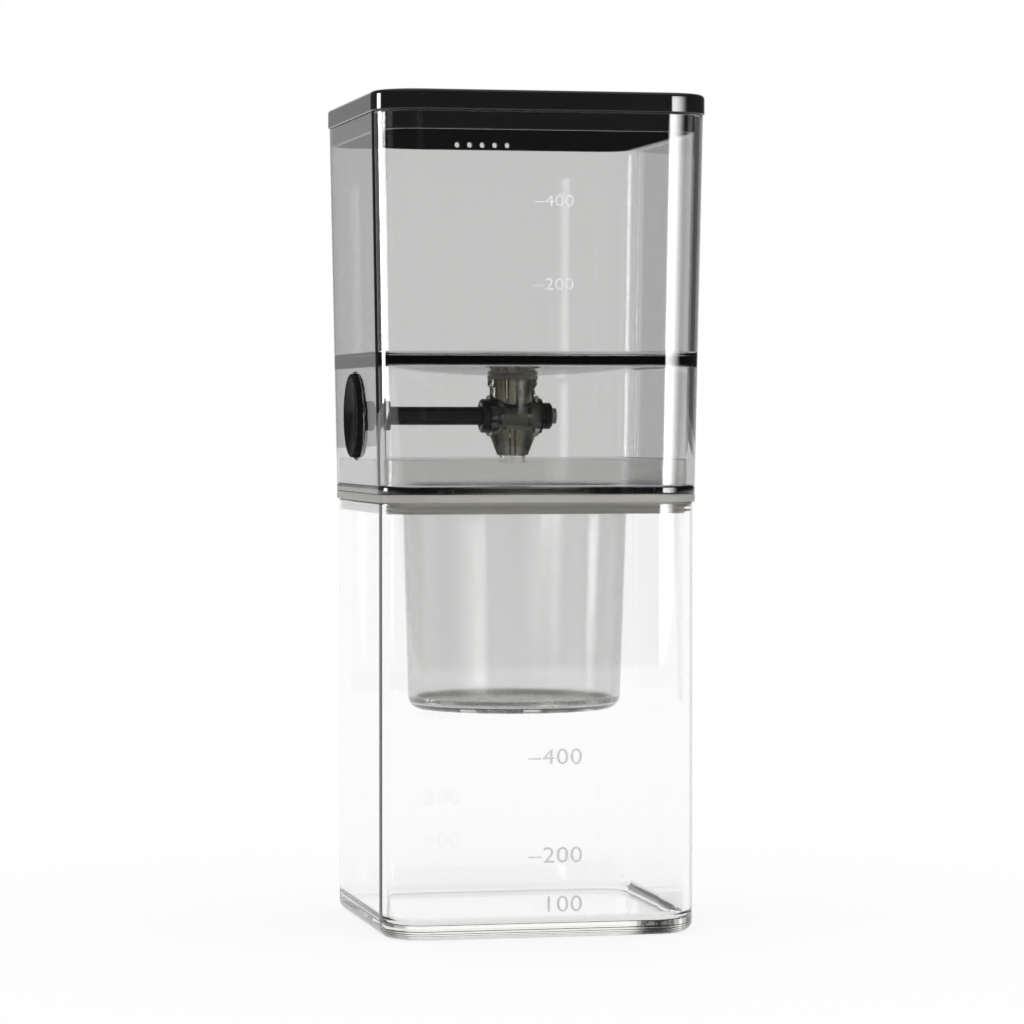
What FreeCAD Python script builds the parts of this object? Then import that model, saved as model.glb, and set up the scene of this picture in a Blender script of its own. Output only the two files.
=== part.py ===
import FreeCAD, Part
import math
import os

from FreeCAD import Vector

# Gravity-drip cold brew coffee maker, in millimetres.
# It is a stack of four things that lift apart: a clear serving vessel, a
# coffee cup hanging in it on a silicone seal, a water tank with a drip valve
# under its floor, and a lid.  The origin is the centre of the vessel's foot,
# +Z is up, -Y is the front with the volume marks, and the valve knob is on -X.

# ---------------------------------------------------------------- sizes
# Heights of the stack, each counted from what it stands on.
vessel_height = 128.7
seal_flange_thickness = 2.5
cup_flange_thickness = 2.3
skirt_height = 36.2
tank_floor_thickness = 2.3
tank_depth = 71.9
lid_flange_height = 6.1

# Widths across the flats of the rounded squares.
vessel_width = 95.2
tank_foot_width = 96.4
tank_rim_width = 100.5
lid_overhang = 0.35
corner_radius = 13.0

# Serving vessel.
vessel_wall = 2.2
vessel_base_thickness = 4.0
vessel_foot_chamfer = 1.9
vessel_inner_chamfer = 2.2

# Silicone seal between cup and vessel.
seal_lip_depth = 3.3
seal_lip_thickness = 2.0

# Coffee cup.
cup_mouth_diameter = 70.1
cup_foot_diameter = 65.8
cup_depth = 68.3
cup_wall = 1.9
cup_floor_thickness = 2.0
cup_foot_rounding = 4.0
cup_foot_facets = 2
cup_mouth_chamfer = 0.8
cup_collar_height = 8.1
cup_collar_wall = 1.0
cup_rim_depth = 4.8
cup_rim_wall = 1.6
grid_hole_width = 5.4
grid_pitch = 8.4
grid_diameter = 58.0

# Filter screen on the cup's floor.
screen_hoop_width = 1.4
screen_hoop_height = 1.8
screen_mesh_thickness = 0.5

# Water tank and its dished floor.
tank_wall = 2.2
tank_floor_chamfer = 1.2
dish_diameter = 84.0
dish_depth = 3.0

# Lid.
lid_top_thickness = 2.4
lid_skirt_depth = 5.4
lid_skirt_wall = 1.8
lid_top_chamfer = 0.9
vent_count = 5
vent_diameter = 1.7
vent_pitch = 4.05
vent_height = 1.6
vent_sides = 12

# Drip valve: body turned about Z, cross bore and spindle along X.
spindle_drop = 15.2
gasket_thickness = 1.0
valve_neck_diameter = 8.0
valve_collar_diameter = 15.4
valve_collar_height = 2.2
valve_barrel_diameter = 14.2
valve_barrel_reach = 5.9
valve_cone_height = 6.1
valve_cone_foot_diameter = 9.4
valve_outlet_diameter = 8.0
valve_outlet_height = 2.6
valve_outlet_wall = 0.9
valve_boss_diameter = 12.6
valve_boss_length = 15.2
water_bore_diameter = 3.2
drip_bore_diameter = 1.4

plug_diameter = 7.8
plug_length = 10.8
plug_offset = 2.0
plug_neck_diameter = 3.6
plug_neck_length = 4.2
plug_port_diameter = 2.8
plug_groove_width = 0.8
plug_groove_depth = 0.4
plug_groove_sweep = 2.6
o_ring_section = 1.2
o_ring_station = 4.2
o_ring_proud = 0.03

thread_diameter = 4.8
thread_length = 6.0
washer_diameter = 10.8
washer_thickness = 1.0
nut_diameter = 8.2
nut_length = 3.2
nut_nose_length = 0.8

gland_diameter = 10.4
gland_head_length = 2.9
gland_nose_length = 3.7
gland_nose_tip_diameter = 6.6
gland_nose_shoulder = 0.55

stem_diameter = 5.6
knob_diameter = 25.4
knob_thickness = 4.6
knob_proud = 1.65
knob_dish_diameter = 21.4
knob_dish_depth = 1.2
knob_edge_chamfer = 0.5
knob_hub_diameter = 9.0
knob_hub_length = 4.4
knob_socket_depth = 6.4
knob_notch_count = 20
knob_notch_width = 1.0

# Wide tapers are turned in flat sides; this many lie within 0.08 mm of the true round.
taper_sides = 48

# Clearances.
nesting_gap = 0.3
seated_gap = 0.05
running_gap = 0.05
end_float = 0.1
knob_hole_gap = 0.6
screen_play = 0.3

# ---------------------------------------------------------------- levels
vessel_rim_z = vessel_height
seal_top_z = vessel_rim_z + seal_flange_thickness
skirt_foot_z = seal_top_z + cup_flange_thickness
floor_under_z = skirt_foot_z + skirt_height
floor_top_z = floor_under_z + tank_floor_thickness
tank_rim_z = floor_top_z + tank_depth
lid_top_z = tank_rim_z + lid_flange_height
cup_foot_z = skirt_foot_z - cup_depth
spindle_z = floor_under_z - spindle_drop

dish_under_z = floor_under_z - dish_depth
gasket_foot_z = dish_under_z - gasket_thickness
collar_foot_z = gasket_foot_z - valve_collar_height
barrel_foot_z = spindle_z - valve_barrel_reach
cone_foot_z = barrel_foot_z - valve_cone_height
outlet_foot_z = cone_foot_z - valve_outlet_height

# ---------------------------------------------------------------- widths
vessel_inner_width = vessel_width - 2 * vessel_wall
seal_lip_width = vessel_inner_width - 2 * nesting_gap
seal_inner_width = seal_lip_width - 2 * seal_lip_thickness
cup_rim_width = seal_inner_width - 2 * seated_gap
skirt_inner_width = tank_foot_width - 2 * tank_wall
cup_collar_width = skirt_inner_width - 2 * nesting_gap
cup_inner_foot_radius = cup_foot_diameter / 2 - cup_wall
cup_inner_mouth_radius = cup_mouth_diameter / 2 - cup_wall
overrun = 1.0
gentle_taper = 0.2
lid_width = tank_rim_width + 2 * lid_overhang


def tank_width(z):
    """Outside width of the drafted tank wall at a height."""
    share = (z - skirt_foot_z) / (tank_rim_z - skirt_foot_z)
    return tank_foot_width + share * (tank_rim_width - tank_foot_width)


lid_skirt_width = tank_width(tank_rim_z - lid_skirt_depth) - 2 * (tank_wall + nesting_gap)

# Spindle stations along X.
plug_left_x = plug_offset - plug_length / 2
plug_right_x = plug_left_x + plug_length
body_left_x = -valve_boss_length / 2
body_right_x = valve_boss_length / 2
gland_seat_x = plug_left_x - end_float
washer_x = body_right_x + end_float
nut_x = washer_x + washer_thickness
knob_face_x = -tank_width(spindle_z) / 2 - knob_proud
knob_back_x = knob_face_x + knob_thickness


# ---------------------------------------------------------------- helpers
def corner_for(width, outer_width):
    """Corner radius of a rounded square nested in the shell's outline."""
    return corner_radius - (outer_width - width) / 2


def outline(width, radius, z):
    """Closed wire of a rounded square about the Z axis."""
    half = width / 2
    flat = half - radius
    arc = radius * math.sqrt(0.5)
    edges = []
    for turn in range(4):
        angle = 90 * turn
        side = Part.LineSegment(Vector(flat, -half, z), Vector(-flat, -half, z))
        bend = Part.Arc(
            Vector(-flat, -half, z),
            Vector(-flat - arc, -flat - arc, z),
            Vector(-half, -flat, z),
        )
        for curve in (side, bend):
            edge = curve.toShape()
            edge.rotate(Vector(0, 0, 0), Vector(0, 0, 1), -angle)
            edges.append(edge)
    return Part.Wire(edges)


def prism(width, radius, z_low, z_high):
    """Upright rounded square block."""
    face = Part.Face(outline(width, radius, z_low))
    return face.extrude(Vector(0, 0, z_high - z_low))


def drafted(width_low, z_low, width_high, z_high, radius):
    """Square block whose sides lean evenly, with its corner edges rounded."""
    low = width_low / 2
    high = width_high / 2
    block = Part.makeWedge(-low, z_low, -low, -high, -high, low, z_high, low, high, high)
    block.rotate(Vector(0, 0, 0), Vector(1, 0, 0), 90)
    return round_edges(block, radius, lambda e: e.BoundBox.ZLength > overrun)


def ring_prism(width, radius, wall, z_low, z_high):
    """Rounded square frame of even wall."""
    hollow = prism(width - 2 * wall, radius - wall, z_low - overrun, z_high + overrun)
    return prism(width, radius, z_low, z_high).cut(hollow)


def run(start, end, axis):
    """Straight profile edge; a gentle taper is a two-pole curve, which meshes lightly."""
    step = end - start
    rise = abs(step.dot(axis))
    reach = (step - axis * step.dot(axis)).Length
    if reach < 1e-6 or reach > gentle_taper * rise:
        return Part.LineSegment(start, end).toShape()
    taper = Part.BezierCurve()
    taper.setPoles([start, end])
    return taper.toShape()


def revolved(corners, centre, axis):
    """Solid turned about an axis from the corners of its half section."""
    ends = corners[1:] + corners[:1]
    wire = Part.Wire([run(start, end, axis) for start, end in zip(corners, ends)])
    solid = Part.Face(wire).revolve(centre, axis, 360)
    return solid if solid.Volume > 0 else solid.reversed()


def turned(points):
    """Solid turned about Z from (radius, height) points."""
    corners = [Vector(r, 0, h) for r, h in points]
    return revolved(corners, Vector(0, 0, 0), Vector(0, 0, 1))


def many_sided(points, foot_z):
    """Solid of flat sides round Z from (radius, height) points that start and end on the axis."""
    turns = [2 * math.pi * (side + 0.5) / taper_sides for side in range(taper_sides)]
    rings = []
    for radius, height in points[1:-1]:
        rings.append([
            Vector(radius * math.cos(t), radius * math.sin(t), foot_z + height) for t in turns
        ])
    faces = [Part.Face(Part.makePolygon(ring + ring[:1])) for ring in (rings[0], rings[-1])]
    for low, high in zip(rings, rings[1:]):
        for side in range(taper_sides):
            after = (side + 1) % taper_sides
            corners = [low[side], low[after], high[after], high[side]]
            faces.append(Part.Face(Part.makePolygon(corners + corners[:1])))
    solid = Part.Solid(Part.Shell(faces)).removeSplitter()
    return solid if solid.Volume > 0 else solid.reversed()


def spun(points):
    """Solid turned about the spindle axis from (station, radius) points."""
    corners = [Vector(x, 0, spindle_z + r) for x, r in points]
    return revolved(corners, Vector(0, 0, spindle_z), Vector(1, 0, 0))


def rod(diameter, x_low, x_high):
    """Round bar on the spindle axis."""
    return Part.makeCylinder(
        diameter / 2, x_high - x_low, Vector(x_low, 0, spindle_z), Vector(1, 0, 0)
    )


def post(diameter, z_low, z_high):
    """Upright round bar on the Z axis."""
    return Part.makeCylinder(diameter / 2, z_high - z_low, Vector(0, 0, z_low))


def round_edges(shape, radius, wanted):
    """Fillet the edges that a test picks out."""
    return shape.makeFillet(radius, [edge for edge in shape.Edges if wanted(edge)])


def ease_edges(shape, size, wanted):
    """Chamfer the edges that a test picks out."""
    return shape.makeChamfer(size, [edge for edge in shape.Edges if wanted(edge)])


def polygon(radius, sides, centre, axis):
    """Regular many-sided face across an axis."""
    side = Vector(0, 0, 1).cross(axis)
    if side.Length < 0.5:
        side = Vector(1, 0, 0)
    other = axis.cross(side)
    turns = [2 * math.pi * (index + 0.5) / sides for index in range(sides)]
    corners = [centre + side * radius * math.cos(t) + other * radius * math.sin(t) for t in turns]
    return Part.Face(Part.makePolygon(corners + corners[:1]))


def level(edge, z):
    """True for an edge that lies flat at a height."""
    box = edge.BoundBox
    return abs(box.ZMin - z) < 1e-4 and abs(box.ZMax - z) < 1e-4


# ---------------------------------------------------------------- vessel
def serving_vessel():
    """Clear square beaker with a thick base."""
    inner_radius = corner_radius - vessel_wall
    shell = prism(vessel_width, corner_radius, 0, vessel_rim_z)
    shell = ease_edges(shell, vessel_foot_chamfer, lambda e: level(e, 0))
    hollow = prism(vessel_inner_width, inner_radius, vessel_base_thickness, vessel_rim_z + overrun)
    hollow = ease_edges(hollow, vessel_inner_chamfer, lambda e: level(e, vessel_base_thickness))
    return shell.cut(hollow)


# ---------------------------------------------------------------- cup
def cup_seal():
    """Silicone ring: a flange on the vessel's rim and a lip inside it."""
    lip_foot_z = vessel_rim_z - seal_lip_depth
    lip_radius = corner_for(seal_lip_width, vessel_width)
    flange = prism(tank_foot_width, corner_radius, vessel_rim_z, seal_top_z)
    lip = prism(seal_lip_width, lip_radius, lip_foot_z, seal_top_z)
    inner_radius = corner_for(seal_inner_width, vessel_width)
    opening = prism(seal_inner_width, inner_radius, lip_foot_z - overrun, seal_top_z + overrun)
    return flange.fuse(lip).cut(opening).removeSplitter()


def coffee_cup():
    """Square flange with a locating collar and rim, and a round tapered cup."""
    flange = prism(tank_foot_width, corner_radius, seal_top_z, skirt_foot_z)
    collar_radius = corner_for(cup_collar_width, tank_foot_width)
    collar = ring_prism(
        cup_collar_width, collar_radius, cup_collar_wall,
        seal_top_z, skirt_foot_z + cup_collar_height,
    )
    rim_radius = corner_for(cup_rim_width, vessel_width)
    rim = ring_prism(
        cup_rim_width, rim_radius, cup_rim_wall, seal_top_z - cup_rim_depth, skirt_foot_z
    )
    heel = [(0, 0)]
    for step in range(cup_foot_facets + 1):
        angle = math.pi / 2 * step / cup_foot_facets
        reach = cup_foot_diameter / 2 - cup_foot_rounding * (1 - math.sin(angle))
        heel.append((reach, cup_foot_rounding * (1 - math.cos(angle))))
    outer = many_sided(heel + [(cup_mouth_diameter / 2, cup_depth), (0, cup_depth)], cup_foot_z)
    inner = many_sided(
        [
            (0, cup_floor_thickness),
            (cup_inner_foot_radius, cup_floor_thickness),
            (cup_inner_mouth_radius, cup_depth - cup_mouth_chamfer),
            (cup_inner_mouth_radius + cup_mouth_chamfer, cup_depth),
            (0, cup_depth),
        ],
        cup_foot_z,
    )
    cup = flange.fuse([collar, rim, outer]).cut(inner)
    return cup.cut(Part.makeCompound(grid_holes())).removeSplitter()


def grid_holes():
    """Square punches of the cup's moulded drip grid, within a round field."""
    reach = int(grid_diameter / 2 / grid_pitch)
    height = cup_floor_thickness + 2 * overrun
    punches = []
    for column in range(-reach, reach + 1):
        for row in range(-reach, reach + 1):
            x = column * grid_pitch
            y = row * grid_pitch
            if math.hypot(x, y) + grid_hole_width / 2 > grid_diameter / 2:
                continue
            corner = Vector(x - grid_hole_width / 2, y - grid_hole_width / 2, cup_foot_z - overrun)
            punches.append(Part.makeBox(grid_hole_width, grid_hole_width, height, corner))
    return punches


def filter_screen():
    """Fine mesh disc in a hoop, lying on the cup's floor."""
    foot_z = cup_foot_z + cup_floor_thickness
    radius = cup_inner_foot_radius - screen_play
    hoop_inner = radius - screen_hoop_width
    return many_sided(
        [
            (0, 0),
            (radius, 0),
            (radius, screen_hoop_height),
            (hoop_inner, screen_hoop_height),
            (hoop_inner, screen_mesh_thickness),
            (0, screen_mesh_thickness),
        ],
        foot_z,
    )


# ---------------------------------------------------------------- tank
def tank_hollow(z_low, z_high):
    """Room inside the drafted wall between two heights."""
    return drafted(
        tank_width(z_low) - 2 * tank_wall, z_low,
        tank_width(z_high) - 2 * tank_wall, z_high,
        corner_radius - tank_wall,
    )


def dish(top_z):
    """Shallow funnel below a level, narrowing to the valve's neck."""
    wide = dish_diameter / 2
    narrow = valve_neck_diameter / 2
    return many_sided(
        [(0, -dish_depth), (narrow, -dish_depth), (wide, 0), (wide, overrun), (0, overrun)], top_z
    )


def water_tank():
    """Drafted tank over a skirt, with a dished floor that drains to the valve."""
    wall = drafted(tank_foot_width, skirt_foot_z, tank_rim_width, tank_rim_z, corner_radius)
    water_room = tank_hollow(floor_top_z, tank_rim_z + overrun)
    water_room = ease_edges(water_room, tank_floor_chamfer, lambda e: level(e, floor_top_z))
    skirt_room = tank_hollow(skirt_foot_z - overrun, floor_under_z)
    neck_hole = post(valve_neck_diameter + 2 * seated_gap, dish_under_z - overrun, floor_top_z)
    knob_hole = rod(
        knob_diameter + 2 * knob_hole_gap, knob_face_x - overrun, knob_back_x + knob_hub_length
    )
    tank = wall.cut([water_room, skirt_room]).fuse(dish(floor_under_z))
    return tank.cut([dish(floor_top_z), neck_hole, knob_hole]).removeSplitter()


# ---------------------------------------------------------------- valve
def valve_gasket():
    """Silicone washer between the valve's collar and the tank's floor."""
    disc = post(valve_collar_diameter, gasket_foot_z, dish_under_z)
    hole = post(valve_neck_diameter + 2 * seated_gap, gasket_foot_z - overrun, floor_top_z)
    return disc.cut([hole, dish(floor_under_z)])


def valve_body():
    """Translucent stopcock body: neck, collar, barrel, cone, outlet and tip."""
    neck_top_z = dish_under_z + tank_floor_thickness
    barrel = valve_barrel_diameter / 2
    collar = valve_collar_diameter / 2
    outlet = valve_outlet_diameter / 2
    profile = [
        (0, neck_top_z),
        (valve_neck_diameter / 2, neck_top_z),
        (valve_neck_diameter / 2, gasket_foot_z),
        (collar, gasket_foot_z),
        (collar, collar_foot_z),
        (barrel, collar_foot_z),
        (barrel, barrel_foot_z),
        (valve_cone_foot_diameter / 2, cone_foot_z),
        (outlet, cone_foot_z),
        (outlet, outlet_foot_z),
        (0, outlet_foot_z),
    ]
    body = turned(profile)
    body = body.fuse(rod(valve_boss_diameter, body_left_x, body_right_x))
    cup = post(valve_outlet_diameter - 2 * valve_outlet_wall, outlet_foot_z - overrun, cone_foot_z)
    cross_bore = rod(plug_diameter + 2 * running_gap, gland_seat_x - overrun, body_right_x + overrun)
    gland_seat = rod(
        gland_diameter + 2 * seated_gap, body_left_x - overrun, gland_seat_x
    )
    inlet = post(water_bore_diameter, spindle_z, neck_top_z + overrun)
    drain = post(drip_bore_diameter, outlet_foot_z - overrun, spindle_z)
    return body.cut([cup, cross_bore, gland_seat, inlet, drain]).removeSplitter()


def valve_plug():
    """Turning core with a cross port, a metering groove and a stub for the nut."""
    core = rod(plug_diameter, plug_left_x, plug_right_x)
    neck = rod(plug_neck_diameter, plug_left_x - plug_neck_length, plug_left_x)
    thread = rod(thread_diameter, plug_right_x, plug_right_x + thread_length)
    port = post(plug_port_diameter, spindle_z - plug_diameter, spindle_z + plug_diameter)
    groove = rod(plug_diameter + overrun, -plug_groove_width / 2, plug_groove_width / 2)
    root_diameter = plug_diameter - 2 * plug_groove_depth
    groove = groove.cut(rod(root_diameter, -plug_groove_width, plug_groove_width))
    sector = Part.makeBox(
        plug_port_diameter, plug_groove_sweep, plug_diameter,
        Vector(-plug_port_diameter / 2, 0, spindle_z),
    )
    groove = groove.common(sector)
    seat_diameter = plug_diameter - 2 * o_ring_section + 2 * o_ring_proud
    seat_left_x = o_ring_station - o_ring_section / 2
    seat = rod(plug_diameter + overrun, seat_left_x, seat_left_x + o_ring_section)
    seat = seat.cut(rod(seat_diameter, seat_left_x, seat_left_x + o_ring_section))
    return core.fuse([neck, thread]).cut([port, groove, seat]).removeSplitter()


def o_ring():
    """Rubber ring of lozenge section in the core's groove, between port and nut."""
    half = o_ring_section / 2
    middle = plug_diameter / 2 + o_ring_proud - half
    return spun(
        [
            (o_ring_station - half, middle),
            (o_ring_station, middle - half),
            (o_ring_station + half, middle),
            (o_ring_station, middle + half),
        ]
    )


def valve_gland():
    """Black bung that closes the body round the stem: a head and a rounded nose."""
    nose_x = gland_seat_x - gland_nose_length
    head_x = nose_x - gland_head_length
    bend_x = gland_seat_x - gland_nose_length * (1 - gland_nose_shoulder)
    radius = gland_diameter / 2
    tip = gland_nose_tip_diameter / 2
    bend = tip + (radius - tip) * math.sqrt(1 - gland_nose_shoulder ** 2)
    bore = stem_diameter / 2 + running_gap
    profile = [
        (head_x, bore),
        (head_x, radius),
        (nose_x, radius),
        (bend_x, bend),
        (gland_seat_x, tip),
        (gland_seat_x, bore),
    ]
    return spun(profile)


def retaining_washer():
    """Washer that bears on the body's right-hand boss."""
    disc = rod(washer_diameter, washer_x, nut_x)
    return disc.cut(rod(thread_diameter, washer_x - overrun, nut_x + overrun))


def retaining_nut():
    """Round nut with a tapered nose on the core's threaded end."""
    end_x = nut_x + nut_length
    bore = thread_diameter / 2
    return spun(
        [
            (nut_x, bore),
            (nut_x, nut_diameter / 2),
            (end_x - nut_nose_length, nut_diameter / 2),
            (end_x, nut_diameter / 2 - nut_nose_length),
            (end_x, bore),
        ]
    )


def valve_stem():
    """Long bar from the knob's hub to the core's neck."""
    socket_x = plug_left_x - plug_neck_length
    stem = rod(stem_diameter, knob_back_x + knob_hub_length - knob_socket_depth, plug_left_x)
    return stem.cut(rod(plug_neck_diameter, socket_x, plug_left_x + overrun))


def knob():
    """Dished disc with a notched rim and a hub that grips the stem."""
    rim = knob_diameter / 2
    ease = knob_edge_chamfer
    hub = knob_hub_diameter / 2
    tip_x = knob_back_x + knob_hub_length
    blank = spun(
        [
            (knob_face_x + knob_dish_depth, 0),
            (knob_face_x + knob_dish_depth, knob_dish_diameter / 2 - knob_dish_depth),
            (knob_face_x, knob_dish_diameter / 2),
            (knob_face_x, rim - ease),
            (knob_face_x + ease, rim),
            (knob_back_x, rim),
            (knob_back_x, hub),
            (tip_x, hub),
            (tip_x, 0),
        ]
    )
    socket = rod(stem_diameter, tip_x - knob_socket_depth, tip_x + overrun)
    return blank.cut([socket] + rim_notches()).removeSplitter()


def rim_notches():
    """V-shaped finger notches round the part of the rim that stands proud."""
    half = knob_notch_width / 2
    notches = []
    for index in range(knob_notch_count):
        rim_z = spindle_z + knob_diameter / 2
        corners = [
            Vector(knob_face_x - overrun, 0, rim_z - half),
            Vector(knob_face_x - overrun, knob_notch_width, rim_z + half),
            Vector(knob_face_x - overrun, -knob_notch_width, rim_z + half),
        ]
        section = Part.Face(Part.makePolygon(corners + corners[:1]))
        notch = section.extrude(Vector(overrun + knob_proud, 0, 0))
        notch.rotate(Vector(0, 0, spindle_z), Vector(1, 0, 0), 360 * index / knob_notch_count)
        notches.append(notch)
    return notches


# ---------------------------------------------------------------- lid
def lid():
    """Flat lid with a hollow skirt that hangs in the tank, vented at the back."""
    lid_radius = corner_for(lid_width, tank_rim_width)
    plate = prism(lid_width, lid_radius, tank_rim_z, lid_top_z)
    plate = ease_edges(plate, lid_top_chamfer, lambda e: level(e, lid_top_z))
    skirt_foot = tank_rim_z - lid_skirt_depth
    skirt_radius = corner_for(lid_skirt_width, tank_rim_width)
    skirt = prism(lid_skirt_width, skirt_radius, skirt_foot, tank_rim_z + lid_top_chamfer)
    hollow_width = lid_skirt_width - 2 * lid_skirt_wall
    hollow_radius = skirt_radius - lid_skirt_wall
    hollow = prism(hollow_width, hollow_radius, skirt_foot - overrun, lid_top_z - lid_top_thickness)
    shape = plate.fuse(skirt).cut(hollow)
    drills = []
    for index in range(vent_count):
        x = (index - (vent_count - 1) / 2) * vent_pitch
        start = Vector(x, hollow_width / 2 - overrun, skirt_foot + vent_height)
        section = polygon(vent_diameter / 2, vent_sides, start, Vector(0, 1, 0))
        drills.append(section.extrude(Vector(0, lid_skirt_wall + 2 * overrun, 0)))
    return shape.cut(drills).removeSplitter()


# ---------------------------------------------------------------- output
NODES = {
    "serving_vessel": serving_vessel,
    "cup_seal": cup_seal,
    "coffee_cup": coffee_cup,
    "filter_screen": filter_screen,
    "water_tank": water_tank,
    "valve_gasket": valve_gasket,
    "valve_body": valve_body,
    "valve_plug": valve_plug,
    "valve_o_ring": o_ring,
    "valve_gland": valve_gland,
    "retaining_washer": retaining_washer,
    "retaining_nut": retaining_nut,
    "valve_stem": valve_stem,
    "knob": knob,
    "lid": lid,
}

os.makedirs("parts", exist_ok=True)
for name, build in NODES.items():
    shape = build()
    solids = len(shape.Solids)
    box = shape.BoundBox
    print(
        f"{name:18s} solids {solids} valid {shape.isValid()} volume {shape.Volume:9.1f} "
        f"z {box.ZMin:7.2f} {box.ZMax:7.2f} x {box.XMin:7.2f} {box.XMax:7.2f}"
    )
    shape.exportStep(f"parts/{name}.step")
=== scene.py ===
import math

import bmesh
import bpy
from mathutils import Matrix, Vector


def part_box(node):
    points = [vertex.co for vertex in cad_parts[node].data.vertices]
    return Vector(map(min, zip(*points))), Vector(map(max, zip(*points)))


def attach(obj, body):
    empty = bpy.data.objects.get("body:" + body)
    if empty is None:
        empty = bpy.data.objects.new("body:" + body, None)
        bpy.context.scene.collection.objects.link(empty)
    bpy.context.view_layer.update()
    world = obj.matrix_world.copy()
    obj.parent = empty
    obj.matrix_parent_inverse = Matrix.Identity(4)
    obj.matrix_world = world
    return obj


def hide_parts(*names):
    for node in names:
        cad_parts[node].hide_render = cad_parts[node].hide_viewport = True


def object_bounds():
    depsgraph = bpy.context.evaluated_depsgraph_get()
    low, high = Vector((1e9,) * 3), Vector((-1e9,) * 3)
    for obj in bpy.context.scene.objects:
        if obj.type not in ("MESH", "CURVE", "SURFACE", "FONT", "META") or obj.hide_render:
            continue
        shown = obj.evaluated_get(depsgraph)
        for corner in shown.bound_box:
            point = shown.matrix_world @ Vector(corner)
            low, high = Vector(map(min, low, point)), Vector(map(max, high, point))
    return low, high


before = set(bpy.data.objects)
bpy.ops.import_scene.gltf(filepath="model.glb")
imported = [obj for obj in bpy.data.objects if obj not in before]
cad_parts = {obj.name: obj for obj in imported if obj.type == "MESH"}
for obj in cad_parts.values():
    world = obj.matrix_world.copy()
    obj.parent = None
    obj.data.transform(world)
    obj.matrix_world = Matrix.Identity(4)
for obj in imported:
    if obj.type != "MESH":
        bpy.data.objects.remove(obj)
cad_low, cad_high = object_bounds()

mm = 0.001

# ---------------------------------------------------------------- sizes from the frame
vessel_low, vessel_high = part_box("serving_vessel")
seal_low, seal_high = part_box("cup_seal")
cup_low, cup_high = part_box("coffee_cup")
tank_low, tank_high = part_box("water_tank")
lid_low, lid_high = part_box("lid")
screen_low, screen_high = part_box("filter_screen")
body_low, body_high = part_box("valve_body")
gland_low, gland_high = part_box("valve_gland")
nut_low, nut_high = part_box("retaining_nut")
knob_low, knob_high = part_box("knob")

vessel_width = 2 * vessel_high.x
ring_width = 2 * seal_high.x
tank_rim_width = 2 * tank_high.x
lid_width = 2 * lid_high.x
vessel_rim_z = vessel_high.z
seal_top_z = seal_high.z
skirt_foot_z = tank_low.z
tank_rim_z = tank_high.z
lid_top_z = lid_high.z
spindle_z = (knob_low.z + knob_high.z) / 2

# ---------------------------------------------------------------- sizes of the mouldings
corner_radius = 13.0 * mm
corner_steps = 31
loop_steps = 4 * (corner_steps + 1)
sharp_angle = math.radians(50)
level_slack = 0.01 * mm
circle_slack = 0.02 * mm

vessel_wall = 2.2 * mm
vessel_base = 4.0 * mm
vessel_foot_fillet = 3.2 * mm
vessel_inner_fillet = 3.0 * mm
rim_rounding = 0.55 * mm

seal_lip_wall = 2.0 * mm
seal_lip_width = vessel_width - 2 * vessel_wall - 0.6 * mm
seal_rib_count = 2
seal_rib_reach = 0.12 * mm
seal_rib_pitch = 1.6 * mm
seal_rounding = 0.35 * mm
seal_clearance = 0.02 * mm

collar_wall = 0.9 * mm
collar_width = ring_width - 5.0 * mm
cup_rim_wall = 1.6 * mm
cup_rim_width = seal_lip_width - 2 * seal_lip_wall - 0.1 * mm
cup_mouth_radius = 35.05 * mm
cup_foot_radius = 32.9 * mm
cup_wall = 1.9 * mm
cup_floor = 2.0 * mm
cup_heel_radius = 4.0 * mm
cup_floor_fillet = 1.0 * mm
cup_mouth_fillet = 0.8 * mm
cup_rim_drop = 4.8 * mm
flange_rounding = 0.4 * mm
collar_rounding = 0.3 * mm
grid_window = 5.4 * mm
grid_pitch = 8.4 * mm
grid_diameter = 58.0 * mm

tank_wall = 2.2 * mm
floor_under_z = skirt_foot_z + 36.2 * mm
floor_thickness = 2.3 * mm
floor_top_z = floor_under_z + floor_thickness
tank_rim_rounding = 0.4 * mm
floor_fillet = 1.6 * mm
floor_under_fillet = 0.8 * mm
dish_radius = 42.0 * mm
dish_depth = 3.0 * mm
neck_hole_radius = 4.05 * mm
knob_hole_radius = 13.3 * mm
knob_hole_rounding = 0.35 * mm
knob_hole_angle = 0.8

neck_radius = 4.0 * mm
collar_radius = 7.7 * mm
collar_top_z = 165.7 * mm
collar_foot_z = 163.5 * mm
barrel_radius = 7.1 * mm
boss_radius = 6.3 * mm
cone_top_z = 148.6 * mm
cone_foot_z = 142.5 * mm
cone_foot_radius = 4.7 * mm
outlet_radius = 4.0 * mm
outlet_bore_radius = 3.1 * mm
outlet_bore_top_z = 142.3 * mm
water_bore_radius = 1.6 * mm
drip_bore_radius = 0.7 * mm
plug_bore_radius = 3.95 * mm
gland_bore_radius = 5.25 * mm
bore_overrun_x = 9.0 * mm
gland_stem_hole_radius = 2.85 * mm
gland_nose_x = -6.9 * mm
nut_bore_radius = 2.4 * mm
nut_groove_count = 2
nut_groove_depth = 0.35 * mm

knob_disc_depth = 4.6 * mm
knob_dish_radius = 10.7 * mm
knob_dish_depth = 1.2 * mm
knob_hub_radius = 4.5 * mm
knob_socket_radius = 2.8 * mm
knob_socket_depth = 6.4 * mm
knob_steps = 240
knob_notch_steps = 12
knob_notch_depth = 0.5 * mm
knob_notch_shoulder = 0.2 * mm

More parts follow.
